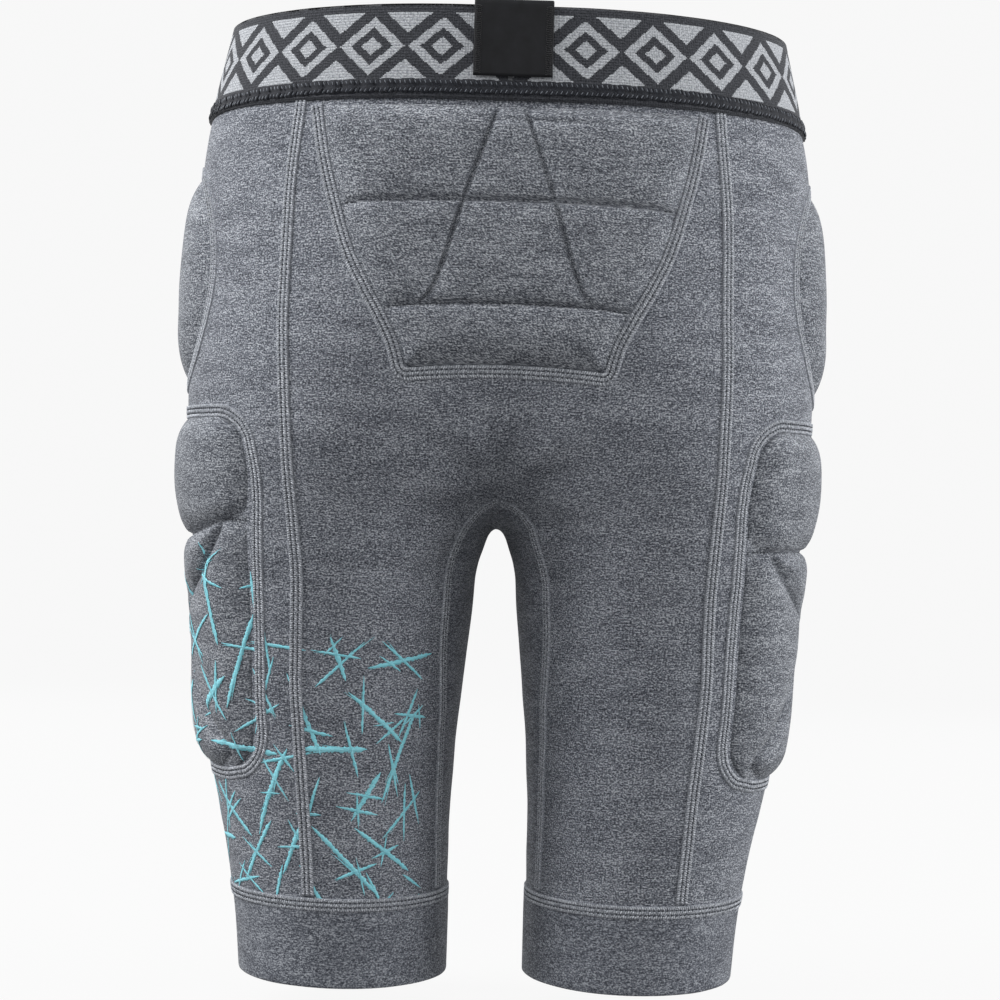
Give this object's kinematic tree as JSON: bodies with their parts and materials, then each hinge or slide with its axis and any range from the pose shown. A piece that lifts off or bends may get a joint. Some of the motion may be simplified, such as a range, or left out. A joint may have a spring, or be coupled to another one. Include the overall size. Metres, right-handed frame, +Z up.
{
  "type": "padded impact shorts",
  "caption": "Knee-length stretch base-layer shorts with foam impact pads over the tailbone, hips and outer thighs.",
  "frame": {"origin": "centre of the waist opening, level with the top edge of the waistband", "axes": "+Z up out of the waist opening, +Y to the wearer's front, +X to the wearer's right"},
  "size_m": [0.3342, 0.2134, 0.4806],
  "materials": {
    "body_jersey": "grey heather stretch jersey",
    "pad_jersey": "grey heather stretch jersey over foam",
    "gusset_jersey": "grey heather stretch jersey, a little darker",
    "cuff_jersey": "doubled grey heather jersey hem",
    "flatlock_thread": "grey zigzag flatlock stitching",
    "band_elastic": "dark heather woven elastic with a light grey geometric motif",
    "black_overlock": "black overlock stitching",
    "black_tab": "smooth black bonded tab",
    "black_thread": "black thread",
    "foam": "matt EVA foam"
  },
  "bodies": {
    "pelvis": {"waistband_elastic": "band_elastic", "waistband_seam": "black_overlock", "back_tab": "black_tab", "back_tab_stitching": "black_thread", "back_panel": "body_jersey", "front_panel": "body_jersey", "side_panel_left": "body_jersey", "side_panel_right": "body_jersey", "tailbone_foam_upper_left": "foam", "tailbone_foam_upper_centre": "foam", "tailbone_foam_upper_right": "foam", "tailbone_foam_middle_left": "foam", "tailbone_foam_middle_centre": "foam", "tailbone_foam_middle_right": "foam", "tailbone_foam_lower": "foam", "tailbone_pad_cover": "pad_jersey", "tailbone_pad_seam": "flatlock_thread", "hip_foam_left": "foam", "hip_foam_right": "foam", "hip_pad_cover_left": "pad_jersey", "hip_pad_cover_right": "pad_jersey", "hip_pad_seam_left": "flatlock_thread", "hip_pad_seam_right": "flatlock_thread", "seat_crease_left": "body_jersey", "seat_crease_right": "body_jersey", "groin_crease_left": "body_jersey", "groin_crease_right": "body_jersey", "side_crease_left": "body_jersey", "side_crease_right": "body_jersey", "gusset_crotch": "gusset_jersey", "rear_seam_left": "flatlock_thread", "rear_seam_right": "flatlock_thread", "front_seam_left": "flatlock_thread", "front_seam_right": "flatlock_thread", "gusset_rear_seam": "flatlock_thread", "gusset_front_seam": "flatlock_thread"},
    "left_leg": {"rear_thigh_panel_left": "body_jersey", "front_thigh_panel_left": "body_jersey", "side_thigh_panel_left": "body_jersey", "gusset_leg_left": "gusset_jersey", "cuff_left": "cuff_jersey", "cuff_seam_left": "flatlock_thread", "thigh_foam_top_left": "foam", "thigh_foam_rear_left": "foam", "thigh_foam_front_left": "foam", "thigh_foam_centre_left": "foam", "thigh_pad_cover_left": "pad_jersey", "thigh_pad_seam_left": "flatlock_thread"},
    "right_leg": {"rear_thigh_panel_right": "body_jersey", "front_thigh_panel_right": "body_jersey", "side_thigh_panel_right": "body_jersey", "gusset_leg_right": "gusset_jersey", "cuff_right": "cuff_jersey", "cuff_seam_right": "flatlock_thread", "thigh_foam_top_right": "foam", "thigh_foam_rear_right": "foam", "thigh_foam_front_right": "foam", "thigh_foam_centre_right": "foam", "thigh_pad_cover_right": "pad_jersey", "thigh_pad_seam_right": "flatlock_thread"}
  },
  "joints": [
    {"name": "left_hip_flexion", "type": "hinge", "parent": "pelvis", "child": "left_leg", "pos_m": [0, 0, -0.128], "axis": [1, 0, 0], "range_deg": [-15, 60], "deforming": ["seat_crease_left", "groin_crease_left", "side_crease_left", "rear_seam_left", "front_seam_left", "gusset_crotch", "gusset_rear_seam"]},
    {"name": "right_hip_flexion", "type": "hinge", "parent": "pelvis", "child": "right_leg", "pos_m": [0, 0, -0.128], "axis": [1, 0, 0], "range_deg": [-15, 60], "deforming": ["seat_crease_right", "groin_crease_right", "side_crease_right", "rear_seam_right", "front_seam_right", "gusset_front_seam"]}
  ]
}
